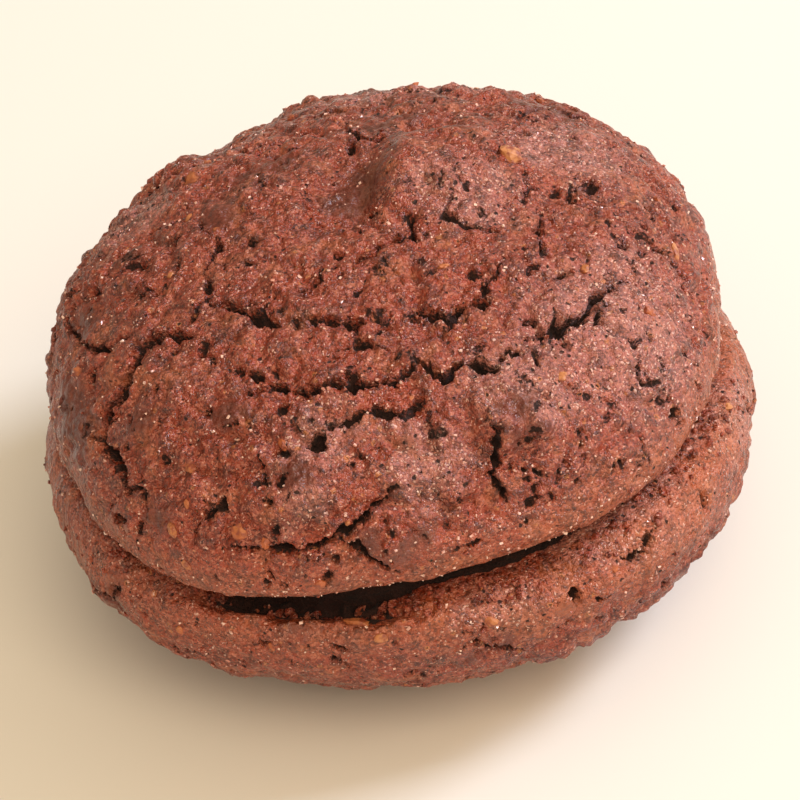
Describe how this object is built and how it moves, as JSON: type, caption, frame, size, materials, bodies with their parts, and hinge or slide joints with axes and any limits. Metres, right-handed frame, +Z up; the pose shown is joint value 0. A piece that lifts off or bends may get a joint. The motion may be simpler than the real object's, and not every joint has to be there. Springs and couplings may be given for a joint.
{
  "type": "chocolate macaron",
  "caption": "Old-style chocolate almond macaron: two domed, crackled cocoa crusts set base to base, with a narrow dark seam and coarse nut bits in the crust.",
  "frame": {"origin": "middle of the small flat spot under the lower shell, on which the macaron rests", "axes": "+Z up through both domes, from the lower shell to the upper one; -Y is the side that the picture shows"},
  "size_m": [0.0494, 0.0488, 0.0324],
  "materials": {
    "upper_crust": "matt baked cocoa crust, sugary and crackled",
    "lower_crust": "matt baked cocoa crust, sugary and pitted"
  },
  "bodies": {
    "root": {"upper_shell": "upper_crust", "lower_shell": "lower_crust"}
  },
  "joints": []
}
